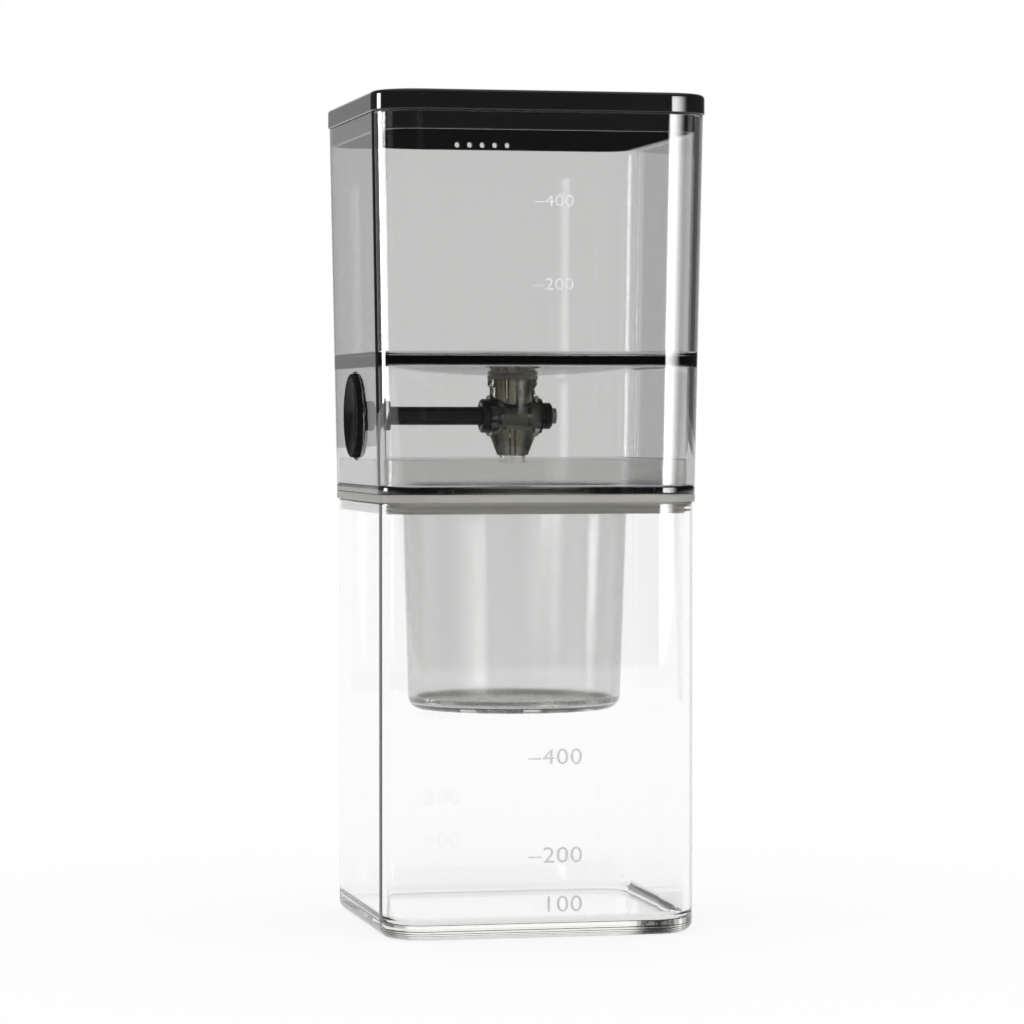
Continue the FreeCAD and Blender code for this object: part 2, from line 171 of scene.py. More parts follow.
lid_plate = 2.4 * mm
lid_skirt_wall = 1.8 * mm
lid_top_rounding = 1.2 * mm
lid_lower_rounding = 0.5 * mm
lid_skirt_rounding = 0.35 * mm
lid_skirt_gap = 0.3 * mm
vent_count = 5
vent_radius = 0.85 * mm
vent_pitch = 4.05 * mm
vent_rise = 1.6 * mm
vent_reach = 4.0 * mm

mark_stretch = 1.17
mark_thickness = 0.02 * mm
digit_share = 0.7

# ---------------------------------------------------------------- the view and the light
view_turn = math.radians(12)
view_distance = 1.2414
eye_height = 153.5 * mm
focal_length = 142.5
table_size = 12.0
table_front = 1.3
table_gap = 0.05 * mm
floor_tone = 0.9
floor_glow = 0.8
floor_glow_through = 0.65
room_light = 0.95
box_gloss = 20.0
left_box_through = 12.0
right_box_through = 5.0
haze_through = 0.07


# ---------------------------------------------------------------- forms
def tank_width(z):
    """Outside width of the drafted tank at a height."""
    share = (z - skirt_foot_z) / (tank_rim_z - skirt_foot_z)
    return ring_width + share * (tank_rim_width - ring_width)


def shift_face(form, face, rise, scale=1.0):
    bmesh.ops.translate(form, verts=face.verts, vec=(0, 0, rise))
    bmesh.ops.scale(form, verts=face.verts, vec=(scale, scale, 1))


def block(form, width, radius, z_low, z_high, top_width=None):
    """Rounded-square block; returns its foot and head faces."""
    place = Matrix.Translation((0, 0, z_low))
    sheet = bmesh.ops.create_grid(form, x_segments=1, y_segments=1, size=width / 2, matrix=place)
    bmesh.ops.bevel(
        form, geom=sheet["verts"], offset=radius, offset_type="OFFSET",
        segments=corner_steps, profile=0.5, affect="VERTICES", material=-1,
    )
    foot = next(iter(form.faces))
    made = bmesh.ops.extrude_face_region(form, geom=[foot])
    head = next(part for part in made["geom"] if isinstance(part, bmesh.types.BMFace))
    shift_face(form, head, z_high - z_low, (top_width or width) / width)
    return foot, head


def draw(form, face, rise, scale):
    """Extrude one face up or down; returns the moved face."""
    drawn = bmesh.ops.extrude_discrete_faces(form, faces=[face])["faces"][0]
    shift_face(form, drawn, rise, scale)
    return drawn


def step_in(form, face, margin, rise, scale=1.0):
    """Inset a face, then draw what is inside; returns the drawn face and its upper edges."""
    bmesh.ops.inset_individual(form, faces=[face], thickness=margin, use_even_offset=True)
    lip = list(face.edges)
    return draw(form, face, rise, scale), lip


def round_over(form, edges, radius, segments):
    bmesh.ops.bevel(
        form, geom=list(edges), offset=radius, offset_type="OFFSET",
        segments=segments, profile=0.5, affect="EDGES", material=-1,
    )


def face_at(form, z):
    """The widest level face at a height."""
    level = [f for f in form.faces if all(abs(v.co.z - z) < level_slack for v in f.verts)]
    return max(level, key=lambda face: face.calc_area())


def circle_at(form, radius, z):
    """Open edges that lie on a level circle."""
    return [
        edge for edge in form.edges
        if edge.is_boundary and all(
            abs(v.co.z - z) < level_slack and abs(v.co.xy.length - radius) < circle_slack
            for v in edge.verts
        )
    ]


def open_faces(form, heights):
    """Take away the widest face at each height; returns their outlines."""
    faces = [face_at(form, z) for z in heights]
    outlines = [list(face.edges) for face in faces]
    bmesh.ops.delete(form, geom=faces, context="FACES_ONLY")
    return outlines


def join_loops(form, first, second):
    """Take two flat faces away and bridge their outlines."""
    edges = list(first.edges) + list(second.edges)
    bmesh.ops.delete(form, geom=[first, second], context="FACES_ONLY")
    bmesh.ops.bridge_loops(form, edges=edges)


def web(form, outline, circle):
    """Level faces between an outline and a circle inside it.

    The circle is held apart from the outline's level while the two are bridged.
    """
    spots = list({vert for edge in circle for vert in edge.verts})
    apart = Vector((0, 0, 5 * mm))
    bmesh.ops.translate(form, verts=spots, vec=apart)
    bmesh.ops.bridge_loops(form, edges=outline + circle)
    bmesh.ops.translate(form, verts=spots, vec=-apart)


def spin_up(form, points, steps=loop_steps):
    """Turn an open run of (radius, height) points about the upright axis."""
    spots = [form.verts.new((radius, 0, height)) for radius, height in points]
    lines = [form.edges.new(pair) for pair in zip(spots, spots[1:])]
    bmesh.ops.spin(
        form, geom=spots + lines, cent=(0, 0, 0), axis=(0, 0, 1), dvec=(0, 0, 0),
        angle=2 * math.pi, steps=steps, use_merge=True,
    )
    bmesh.ops.remove_doubles(form, verts=form.verts, dist=0.001 * mm)


def turned(points, steps=loop_steps):
    """New form turned about the upright axis; a profile off the axis is closed first."""
    form = bmesh.new()
    on_axis = points[0][0] == 0 and points[-1][0] == 0
    spin_up(form, points if on_axis else points + points[:1], steps)
    return form


def lathed(points, steps=96):
    """New form turned about the spindle's axis from (station, radius) points."""
    form = turned([(radius, station) for station, radius in points], steps)
    place = Matrix.Translation((0, 0, spindle_z)) @ Matrix.Rotation(math.pi / 2, 4, "Y")
    bmesh.ops.transform(form, matrix=place, verts=form.verts)
    return form


def arc(centre, radius, start, end, steps):
    """Points of an arc, in degrees from the first coordinate's axis."""
    turns = [math.radians(start + (end - start) * step / steps) for step in range(steps + 1)]
    return [(centre[0] + radius * math.cos(t), centre[1] + radius * math.sin(t)) for t in turns]


def rod(radius, x_low, x_high, steps=96):
    """Plain bar on the spindle's axis."""
    return lathed([(x_low, 0), (x_low, radius), (x_high, radius), (x_high, 0)], steps)


def post(radius, z_low, z_high, steps):
    """Plain upright bar on the axis of the stack."""
    return turned([(0, z_low), (radius, z_low), (radius, z_high), (0, z_high)], steps)


def add_object(name, form):
    mesh = bpy.data.meshes.new(name)
    bmesh.ops.recalc_face_normals(form, faces=form.faces)
    form.to_mesh(mesh)
    form.free()
    thing = bpy.data.objects.new(name, mesh)
    bpy.context.scene.collection.objects.link(thing)
    return thing


def discard(thing):
    mesh = thing.data
    bpy.data.objects.remove(thing)
    bpy.data.meshes.remove(mesh)


def gathered(forms):
    """One form that holds several closed forms, which may overlap."""
    whole = bmesh.new()
    for form in forms:
        part = add_object("part", form)
        whole.from_mesh(part.data)
        discard(part)
    return whole


def combined(form, tools, operation="DIFFERENCE"):
    """The form after the tools are cut from it or joined to it."""
    base = add_object("base", form)
    cutter = add_object("cutter", gathered(tools))
    work = base.modifiers.new("work", "BOOLEAN")
    work.operation = operation
    work.solver = "EXACT"
    work.use_self = True
    work.object = cutter
    result = base.evaluated_get(bpy.context.evaluated_depsgraph_get()).to_mesh()
    made = bmesh.new()
    made.from_mesh(result)
    discard(base)
    discard(cutter)
    return made


def ship(name, form, material, body, node):
    """Finish a form as a smooth piece that rides on a body and may stand for a node."""
    piece = add_object(name, form)
    piece.data.shade_smooth()
    piece.data.set_sharp_from_angle(angle=sharp_angle)
    piece.data.materials.append(material)
    keep_flat = piece.modifiers.new("flat faces stay flat", "WEIGHTED_NORMAL")
    keep_flat.mode = "FACE_AREA"
    keep_flat.weight = 100
    keep_flat.keep_sharp = True
    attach(piece, body)
    if node:
        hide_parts(node)


# ---------------------------------------------------------------- shader maths
class Value:
    """A shader socket that takes part in Python arithmetic."""

    def __init__(self, nodes, socket):
        self.nodes = nodes
        self.socket = socket

    def maths(self, operation, *others):
        return self.nodes.add("ShaderNodeMath", {"operation": operation}, self, *others)

    def __add__(self, other):
        return self.maths("ADD", other)

    def __sub__(self, other):
        return self.maths("SUBTRACT", other)

    def __rsub__(self, other):
        return self.maths("MULTIPLY_ADD", -1.0, other)

    def __mul__(self, other):
        return self.maths("MULTIPLY", other)

    def __truediv__(self, other):
        return self.maths("DIVIDE", other)

    def __abs__(self):
        return self.maths("ABSOLUTE")

    def between(self, low, high, soft):
        """1 between two values and 0 outside, with soft ends."""
        rise = self.ramp(low - soft, low + soft)
        fall = self.ramp(high - soft, high + soft)
        return rise - fall

    def ramp(self, start, end, low=0.0, high=1.0):
        """Smooth step from low to high as the value goes from start to end."""
        settings = {"interpolation_type": "SMOOTHSTEP"}
        return self.nodes.add("ShaderNodeMapRange", settings, self, start, end, low, high)


class Nodes:
    """Makes the nodes of one material or world."""

    def __init__(self, owner):
        owner.use_nodes = True
        self.tree = owner.node_tree
        self.tree.nodes.clear()

    def add(self, kind, settings=None, *inputs, out=0, **named):
        """Add a node, give its settings, then its values or links; returns one output."""
        node = self.tree.nodes.new(kind)
        for name, value in (settings or {}).items():
            setattr(node, name, value)
        sockets = list(enumerate(inputs))
        sockets += [(key.replace("_", " "), value) for key, value in named.items()]
        for key, value in sockets:
            if value is None:
                continue
            socket = node.inputs[key]
            if isinstance(value, Value):
                self.tree.links.new(value.socket, socket)
            else:
                socket.default_value = value
        return Value(self, node.outputs[out]) if node.outputs else node

    def several(self, kind, names, *inputs):
        """Add a node and return some of its outputs."""
        outputs = self.add(kind, None, *inputs).socket.node.outputs
        return [Value(self, outputs[name]) for name in names]

    def light_paths(self):
        """1 for a ray that left the camera, mirrored off a surface, or went through one."""
        names = ("Is Camera Ray", "Is Glossy Ray", "Is Transmission Ray")
        return self.several("ShaderNodeLightPath", names)

    def place(self):
        """Object coordinates."""
        return self.add("ShaderNodeTexCoord", out="Object")

    def noise(self, scale, detail):
        """Noise of a given number of blobs per metre."""
        return self.add("ShaderNodeTexNoise", None, self.place(), Scale=scale, Detail=detail)

    def bump(self, height, strength, distance):
        return self.add(
            "ShaderNodeBump", None, Strength=strength, Distance=distance, Height=height,
        )

    def mix_colour(self, share, first, second):
        settings = {"data_type": "RGBA"}
        unused = [None] * 5
        return self.add("ShaderNodeMix", settings, share, *unused, first, second, out=2)

    def finish(self, surface, volume=None):
        self.add("ShaderNodeOutputMaterial", None, Surface=surface, Volume=volume)


def new_finish(name):
    material = bpy.data.materials.new(name)
    return material, Nodes(material)


def grey(level):
    return (level, level, level, 1)


# ---------------------------------------------------------------- finishes
plastic_ior = 1.52


def see_through(name, tint, absorption, roughness=0.0):
    """See-through moulding: faint flow waves and smudges on the skin, tint from depth."""
    material, nodes = new_finish(name)
    flow = nodes.noise(55.0, 1.0)
    smudge = nodes.noise(190.0, 3.0)
    surface = nodes.add(
        "ShaderNodeBsdfPrincipled", None,
        Base_Color=grey(1), Roughness=smudge.ramp(0.45, 0.8, roughness, roughness + 0.012),
        IOR=plastic_ior, Transmission_Weight=1.0, Normal=nodes.bump(flow, 0.08, 0.006 * mm),
    )
    volume = nodes.add("ShaderNodeVolumeAbsorption", None, Color=tint, Density=absorption)
    nodes.finish(surface, volume)
    return material


def black_gloss(name, level, roughness, speckle, shine=0.5, coat=0.0):
    """Black moulding with a faint mottle and slightly uneven wear."""
    material, nodes = new_finish(name)
    mottle = nodes.noise(900.0, 3.0)
    wear = nodes.noise(60.0, 4.0)
    colour = nodes.mix_colour(wear, grey(level), grey(level * 1.5))
    surface = nodes.add(
        "ShaderNodeBsdfPrincipled", None,
        Base_Color=colour, Roughness=wear.ramp(0.3, 0.75, roughness, roughness * 1.2),
        IOR=1.5, Specular_IOR_Level=shine, Coat_Weight=coat, Coat_Roughness=0.12,
        Normal=nodes.bump(mottle, 0.1, speckle * mm),
    )
    nodes.finish(surface)
    return material


def silicone_finish():
    """Milky silicone: soft sheen, slight cloudiness."""
    material, nodes = new_finish("milky silicone")
    cloud = nodes.noise(70.0, 3.0)
    grain = nodes.noise(2500.0, 2.0)
    colour = nodes.mix_colour(cloud, (0.61, 0.60, 0.55, 1), (0.78, 0.77, 0.72, 1))
    surface = nodes.add(
        "ShaderNodeBsdfPrincipled", None,
        Base_Color=colour, Roughness=cloud.ramp(0.3, 0.7, 0.32, 0.45), IOR=1.41,
        Transmission_Weight=0.55, Subsurface_Weight=0.3, Subsurface_Scale=0.002,
        Normal=nodes.bump(grain, 0.15, 0.01 * mm),
    )
    nodes.finish(surface)
    return material


def core_finish():
    """Smooth natural acetal with a fine turned grain."""
    material, nodes = new_finish("natural acetal")
    grain = nodes.noise(1200.0, 2.0)
    colour = nodes.mix_colour(grain, (0.52, 0.52, 0.48, 1), (0.62, 0.62, 0.58, 1))
    surface = nodes.add(
        "ShaderNodeBsdfPrincipled", None, Base_Color=colour,
        Roughness=grain.ramp(0.3, 0.7, 0.3, 0.4), Normal=nodes.bump(grain, 0.1, 0.01 * mm),
    )
    nodes.finish(surface)
    return material


def rubber_finish():
    """Black O-ring rubber."""
    material, nodes = new_finish("black rubber")
    grain = nodes.noise(3000.0, 2.0)
    colour = nodes.mix_colour(grain, grey(0.012), grey(0.03))
    surface = nodes.add(
        "ShaderNodeBsdfPrincipled", None, Base_Color=colour,
        Roughness=grain.ramp(0.3, 0.7, 0.5, 0.65), Normal=nodes.bump(grain, 0.3, 0.02 * mm),
    )
    nodes.finish(surface)
    return material


def mesh_finish():
    """Fine woven wire: two crossed sets of wires with open gaps."""
    material, nodes = new_finish("woven mesh")
    pitch = 0.5 * mm
    rows = nodes.several("ShaderNodeSeparateXYZ", "XY", nodes.place())
    waves = [abs((row / pitch).maths("FRACT") - 0.5) for row in rows]
    wires = [wave.ramp(0.22, 0.30, 1.0, 0.0) for wave in waves]
    cover = wires[0].maths("MAXIMUM", wires[1])
    wear = nodes.noise(300.0, 2.0)
    colour = nodes.mix_colour(wear, (0.50, 0.49, 0.45, 1), (0.68, 0.67, 0.63, 1))
    surface = nodes.add(
        "ShaderNodeBsdfPrincipled", None, Base_Color=colour, Metallic=1.0,
        Roughness=wear.ramp(0.3, 0.7, 0.25, 0.4), Alpha=cover,
        Normal=nodes.bump(cover, 0.5, 0.05 * mm),
    )
    nodes.finish(surface)
    return material


def hoop_finish():
    """Brushed steel of the screen's hoop."""
    material, nodes = new_finish("brushed steel")
    streak = nodes.noise(1500.0, 2.0)
    surface = nodes.add(
        "ShaderNodeBsdfPrincipled", None,
        Base_Color=nodes.mix_colour(streak, (0.55, 0.54, 0.52, 1), (0.68, 0.67, 0.65, 1)),
        Metallic=1.0, Roughness=streak.ramp(0.3, 0.7, 0.25, 0.38),
        Normal=nodes.bump(streak, 0.1, 0.01 * mm),
    )
    nodes.finish(surface)
    return material


def ink(name, level):
    """Pad-printed ink with slightly uneven cover."""
    material, nodes = new_finish(name)
    cover = nodes.noise(1500.0, 2.0)
    surface = nodes.add(
        "ShaderNodeBsdfPrincipled", None,
        Base_Color=nodes.mix_colour(cover, grey(level * 0.94), grey(level)),
        Roughness=cover.ramp(0.3, 0.7, 0.35, 0.5), Normal=nodes.bump(cover, 0.1, 0.01 * mm),
    )
    nodes.finish(surface)
    return material


smoke_tint = (0.40, 0.40, 0.39, 1)
smoke = see_through("smoke plastic", smoke_tint, 205.0)
cup_smoke = see_through("light smoke plastic", smoke_tint, 150.0, roughness=0.09)
clear = see_through("clear plastic", (0.945, 0.945, 0.93, 1), 20.0)
olive = see_through("olive valve plastic", (0.30, 0.29, 0.18, 1), 215.0, roughness=0.01)
lid_black = black_gloss("black lid plastic", 0.007, 0.05, 0.004)
valve_black = black_gloss("satin black plastic", 0.007, 0.18, 0.006, 0.3)
knob_black = black_gloss("black knob plastic", 0.008, 0.4, 0.01, 0.0, 0.1)
silicone = silicone_finish()
acetal = core_finish()
rubber = rubber_finish()
woven = mesh_finish()
steel = hoop_finish()
white_ink = ink("white ink", 0.85)
grey_ink = ink("light grey ink", 0.68)


# ---------------------------------------------------------------- pieces
def make_vessel():
    """Open square vessel with a thick base."""
    form = bmesh.new()
    foot, head = block(form, vessel_width, corner_radius, vessel_low.z, vessel_rim_z)
    rim = list(head.edges)
    floor, inner_rim = step_in(form, head, vessel_wall, vessel_base - vessel_rim_z)
    round_over(form, foot.edges, vessel_foot_fillet, 7)
    round_over(form, floor.edges, vessel_inner_fillet, 7)
    round_over(form, rim + inner_rim, rim_rounding, 3)
    ship("vessel", form, clear, "vessel", "serving_vessel")


def make_seal():
    """Flange between the cup and the vessel, with a ribbed lip inside the vessel."""
    form = bmesh.new()
    flange_foot = vessel_rim_z + seal_clearance
    foot, head = block(form, ring_width, corner_radius, flange_foot, seal_top_z - seal_clearance)
    outer = list(foot.edges) + list(head.edges)
    opening = seal_lip_width - 2 * seal_lip_wall
    drop = seal_low.z - seal_top_z + seal_clearance
    inside, _ = step_in(form, head, (ring_width - opening) / 2, drop)
    reach = 1 + 2 * seal_rib_reach / seal_lip_width
    lip, _ = step_in(form, foot, (ring_width - seal_lip_width) / 2, -0.3 * seal_rib_pitch)
    for _ in range(seal_rib_count):
        for fall, spread in ((0.15, reach), (0.35, 1.0), (0.15, 1 / reach), (0.2, 1.0)):
            lip = draw(form, lip, -fall * seal_rib_pitch, spread)
    sunk = seal_low.z - next(iter(lip.verts)).co.z
    shift_face(form, lip, sunk)
    join_loops(form, inside, lip)
    round_over(form, outer, seal_rounding, 3)
    ship("seal", form, silicone, "cup", "cup_seal")


def grid_cutters():
    """Square punches of the cup's drip grid, in one form."""
    form = bmesh.new()
    reach = int(grid_diameter / 2 / grid_pitch)
    middle = cup_low.z + cup_floor / 2
    for column in range(-reach, reach + 1):
        for row in range(-reach, reach + 1):
            x = column * grid_pitch
            y = row * grid_pitch
            if math.hypot(x, y) + grid_window / 2 > grid_diameter / 2:
                continue
            place = Matrix.Translation((x, y, middle))
            size = Matrix.Diagonal((grid_window, grid_window, 2 * cup_floor, 1))
            bmesh.ops.create_cube(form, size=1.0, matrix=place @ size)
    return form


def make_cup():
    """Square flange with a collar and a seal rim, and a round cup with a drip grid."""
    form = bmesh.new()
    foot, head = block(form, ring_width, corner_radius, seal_top_z, skirt_foot_z - seal_clearance)
    outer = list(foot.edges) + list(head.edges)
    collar_rise = cup_high.z - skirt_foot_z
    collar, _ = step_in(form, head, (ring_width - collar_width) / 2, collar_rise)
    collar_rim = list(collar.edges)
    _, collar_inner = step_in(form, collar, collar_wall, -collar_rise)
    rim, _ = step_in(form, foot, (ring_width - cup_rim_width) / 2, -cup_rim_drop)
    rim_foot = list(rim.edges)
    _, rim_inner = step_in(form, rim, cup_rim_wall, cup_rim_drop)
    round_over(form, outer, flange_rounding, 3)
    round_over(form, collar_rim + collar_inner + rim_foot + rim_inner, collar_rounding, 2)
    tray_z = skirt_foot_z - seal_clearance
    outlines = open_faces(form, (tray_z, seal_top_z))

    floor_z = cup_low.z + cup_floor
    inner_foot = cup_foot_radius - cup_wall
    inner_mouth = cup_mouth_radius - cup_wall
    mouth_top = inner_mouth + cup_mouth_fillet
    mouth = arc((mouth_top, tray_z - cup_mouth_fillet), cup_mouth_fillet, 90, 180, 5)
    corner_centre = (inner_foot - cup_floor_fillet, floor_z + cup_floor_fillet)
    corner = arc(corner_centre, cup_floor_fillet, 0, -90, 5)
    heel_centre = (cup_foot_radius - cup_heel_radius, cup_low.z + cup_heel_radius)
    heel = arc(heel_centre, cup_heel_radius, -90, 0, 8)
    spin_up(form, mouth + corner + [(0, floor_z)])
    spin_up(form, [(0, cup_low.z)] + heel + [(cup_mouth_radius, seal_top_z)])
    circles = (
        circle_at(form, mouth_top, tray_z),
        circle_at(form, cup_mouth_radius, seal_top_z),
    )
    for outline, circle in zip(outlines, circles):
        web(form, outline, circle)
    form = combined(form, [grid_cutters()])
    ship("cup", form, cup_smoke, "cup", "coffee_cup")


def on_knob_hole(vert):
    """Whether a point of the tank lies on the edge of the knob's hole."""
    reach = math.hypot(vert.co.y, vert.co.z - spindle_z)
    return vert.co.x < knob_high.x and abs(reach - knob_hole_radius) < 0.05 * mm


def make_tank():
    """Drafted square tank with a dished floor and a skirt below it."""
    form = bmesh.new()
    foot, head = block(form, ring_width, corner_radius, skirt_foot_z, tank_rim_z, tank_rim_width)
    rims = list(head.edges) + list(foot.edges)
    floor_width = tank_width(floor_top_z) - 2 * tank_wall
    floor_scale = floor_width / (tank_rim_width - 2 * tank_wall)
    floor, top_lip = step_in(form, head, tank_wall, floor_top_z - tank_rim_z, floor_scale)
    under_width = tank_width(floor_under_z) - 2 * tank_wall
    under_scale = under_width / (ring_width - 2 * tank_wall)
    under, foot_lip = step_in(form, foot, tank_wall, floor_under_z - skirt_foot_z, under_scale)
    round_over(form, rims + top_lip + foot_lip, tank_rim_rounding, 3)
    round_over(form, floor.edges, floor_fillet, 5)
    round_over(form, under.edges, floor_under_fillet, 4)
    outlines = open_faces(form, (floor_top_z, floor_under_z))

    sag = (dish_radius ** 2 + dish_depth ** 2) / (2 * dish_depth)
    half_turn = math.degrees(math.asin(dish_radius / sag))
    neck_turn = math.degrees(math.asin(neck_hole_radius / sag))
    top_centre = (0, floor_top_z - dish_depth + sag)
    under_centre = (0, floor_under_z - dish_depth + sag)
    top_arc = arc(top_centre, sag, -90 + half_turn, -90 + neck_turn, 12)
    under_arc = arc(under_centre, sag, -90 + neck_turn, -90 + half_turn, 12)
    spin_up(form, top_arc + under_arc)
    for outline, level in zip(outlines, (floor_top_z, floor_under_z)):
        web(form, outline, circle_at(form, dish_radius, level))
    form = combined(form, [rod(knob_hole_radius, -60 * mm, knob_high.x)])
    hole = [
        edge for edge in form.edges
        if edge.is_manifold and edge.calc_face_angle() > knob_hole_angle
        and all(on_knob_hole(vert) for vert in edge.verts)
    ]
    round_over(form, hole, knob_hole_rounding, 3)
    ship("tank", form, smoke, "tank", "water_tank")


def make_lid():
    """Flat lid with a hollow skirt and a row of vents at the back."""
    form = bmesh.new()
    radius = corner_radius + (lid_width - tank_rim_width) / 2
    foot, head = block(form, lid_width, radius, tank_rim_z + seal_clearance, lid_top_z)
    top, lower = list(head.edges), list(foot.edges)
    skirt_width = tank_width(lid_low.z) - 2 * (tank_wall + lid_skirt_gap)
    drop = lid_low.z - tank_rim_z - seal_clearance
    skirt, _ = step_in(form, foot, (lid_width - skirt_width) / 2, drop)
    skirt_foot = list(skirt.edges)
    _, inner = step_in(form, skirt, lid_skirt_wall, lid_top_z - lid_plate - lid_low.z)
    round_over(form, top, lid_top_rounding, 5)
    round_over(form, lower, lid_lower_rounding, 3)
    round_over(form, skirt_foot + inner, lid_skirt_rounding, 2)
    vents = []
    for index in range(vent_count):
        x = (index - (vent_count - 1) / 2) * vent_pitch
        drill = post(vent_radius, -vent_reach, vent_reach, 24)
        place = Matrix.Translation((x, skirt_width / 2, lid_low.z + vent_rise))
        place = place @ Matrix.Rotation(math.pi / 2, 4, "X")
        bmesh.ops.transform(drill, matrix=place, verts=drill.verts)
        vents.append(drill)
    form = combined(form, vents)
    ship("lid_cover", form, lid_black, "lid", "lid")


def make_valve():
    """Olive stopcock body with its cross boss and bores."""
    barrel = [
        (0, body_high.z), (neck_radius, body_high.z),
        (neck_radius, collar_top_z), (collar_radius, collar_top_z),
        (collar_radius, collar_foot_z), (barrel_radius, collar_foot_z),
        (barrel_radius, cone_top_z), (cone_foot_radius, cone_foot_z),
        (outlet_radius, cone_foot_z), (outlet_radius, body_low.z), (0, body_low.z),
    ]
    form = turned(barrel, 96)
    boss_low, boss_high = body_low.x + 0.1 * mm, -body_low.x - 0.1 * mm
    form = combined(form, [rod(boss_radius, boss_low, boss_high)], "UNION")
    bmesh.ops.triangulate(form, faces=form.faces)
    bores = [
        rod(plug_bore_radius, gland_high.x - 0.5 * mm, bore_overrun_x, 100),
        rod(gland_bore_radius, -bore_overrun_x, gland_high.x + 0.02 * mm, 92),
        post(water_bore_radius, spindle_z + 0.3 * mm, body_high.z + 1 * mm, 60),
        post(drip_bore_radius, body_low.z - 1.1 * mm, spindle_z - 0.3 * mm, 36),
        post(outlet_bore_radius, body_low.z - 1 * mm, outlet_bore_top_z, 60),
    ]
    form = combined(form, bores)
    ship("valve_housing", form, olive, "tank", "valve_body")


def make_gland():
    """Black bung with a domed nose."""
    head, seat = gland_low.x, gland_high.x
    radius = gland_high.y
    bore = gland_stem_hole_radius
    profile = [
        (head + 0.4 * mm, bore), (head, bore + 0.4 * mm),
        (head, radius - 0.5 * mm), (head + 0.5 * mm, radius),
    ]
    profile += arc((gland_nose_x, 0), radius, 90, 42, 10)
    profile.append((seat, bore))
    form = lathed(profile)
    ship("gland", form, valve_black, "tank", "valve_gland")


def make_nut():
    """Round nut with moulded finger grooves."""
    start, end, radius = nut_low.x, nut_high.x, nut_high.y
    bore = nut_bore_radius
    profile = [(start, bore), (start, radius - 0.2 * mm), (start + 0.2 * mm, radius)]
    pitch = (end - start) / (nut_groove_count + 1)
    for index in range(nut_groove_count):
        middle = start + pitch * (index + 1)
        profile += [
            (middle - 0.3 * mm, radius),
            (middle, radius - nut_groove_depth),
            (middle + 0.3 * mm, radius),
        ]
    profile += [(end - 0.5 * mm, radius), (end, radius - 0.5 * mm), (end, bore)]
    ship("nut", lathed(profile), valve_black, "spindle", "retaining_nut")


def make_knob():
    """Dished disc with a notched rim, on a hub."""
    face, tip, rim = knob_low.x, knob_high.x, knob_high.y
    back = face + knob_disc_depth
    cap, depth = knob_dish_radius, knob_dish_depth
    sphere = (cap ** 2 + depth ** 2) / (2 * depth)
    spread = math.degrees(math.asin(cap / sphere))
    dish = arc((face + depth - sphere, 0), sphere, 0, spread, 10)
    profile = dish[:-1] + [(face + 0.15 * mm, cap - 0.2 * mm), (face, cap + 0.25 * mm)]
    profile += arc((face + 0.6 * mm, rim - 0.6 * mm), 0.6 * mm, 180, 90, 5)
    profile += arc((back - 0.4 * mm, rim - 0.4 * mm), 0.4 * mm, 90, 0, 3)
    profile += [
        (back, knob_hub_radius), (tip - 0.3 * mm, knob_hub_radius),
        (tip, knob_hub_radius - 0.3 * mm), (tip, knob_socket_radius),
        (tip - knob_socket_depth, knob_socket_radius), (tip - knob_socket_depth, 0),
    ]
    form = lathed(profile, knob_steps)
    for vert in form.verts:
        y, z = vert.co.y, vert.co.z - spindle_z
        reach = math.hypot(y, z)
        if reach < rim - 0.45 * mm or vert.co.x > back - 0.5 * mm:
            continue
        step = round(math.atan2(z, y) / (2 * math.pi) * knob_steps) % knob_notch_steps
        if step in (0, 1, knob_notch_steps - 1):
            pull = knob_notch_shoulder if step else knob_notch_depth
            vert.co.y -= pull * y / reach
            vert.co.z -= pull * z / reach
    ship("knob_disc", form, knob_black, "spindle", "knob")


def make_screen():
    """Hoop and woven disc on the cup's floor."""
    low, high, radius = screen_low.z, screen_high.z, screen_high.x
    inner, edge = radius - 1.4 * mm, 0.3 * mm
    hoop = turned([
        (inner, low), (radius - edge, low), (radius, low + edge),
        (radius, high - edge), (radius - edge, high), (inner, high),
    ])
    ship("screen_hoop", hoop, steel, "screen", "filter_screen")
    level = low + 0.25 * mm
    disc = post(radius - 1 * mm, level, level + 0.1 * mm, 64)
    ship("screen_mesh", disc, woven, "screen", None)


def make_mark(words, place, height, material, body):
    """Thin raised print on a front wall; its place is the middle of its right-hand edge."""
    name = body + "_mark_" + words[-3:]
    letters = bpy.data.curves.new(name, "FONT")
    letters.body = words
    letters.align_x = "RIGHT"
    letters.align_y = "CENTER"
    letters.size = height / digit_share
    letters.space_character = 1.06
    letters.offset = -0.004 * letters.size
    letters.extrude = mark_thickness
    lean = math.atan((tank_rim_width - ring_width) / 2 / (tank_rim_z - skirt_foot_z))
    source = bpy.data.objects.new(name + "_text", letters)
    bpy.context.scene.collection.objects.link(source)
    graph = bpy.context.evaluated_depsgraph_get()
    mesh = bpy.data.meshes.new_from_object(source.evaluated_get(graph))
    bpy.data.objects.remove(source)
    tilt = math.pi / 2 + (lean if body == "tank" else 0)
    wide = Matrix.Diagonal((mark_stretch, 1, 1, 1))
    mesh.transform(Matrix.Translation(place) @ Matrix.Rotation(tilt, 4, "X") @ wide)
    mesh.name = name
    mesh.materials.clear()
    mesh.materials.append(material)
    mark = bpy.data.objects.new(name, mesh)
    bpy.context.scene.collection.objects.link(mark)
    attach(mark, body)


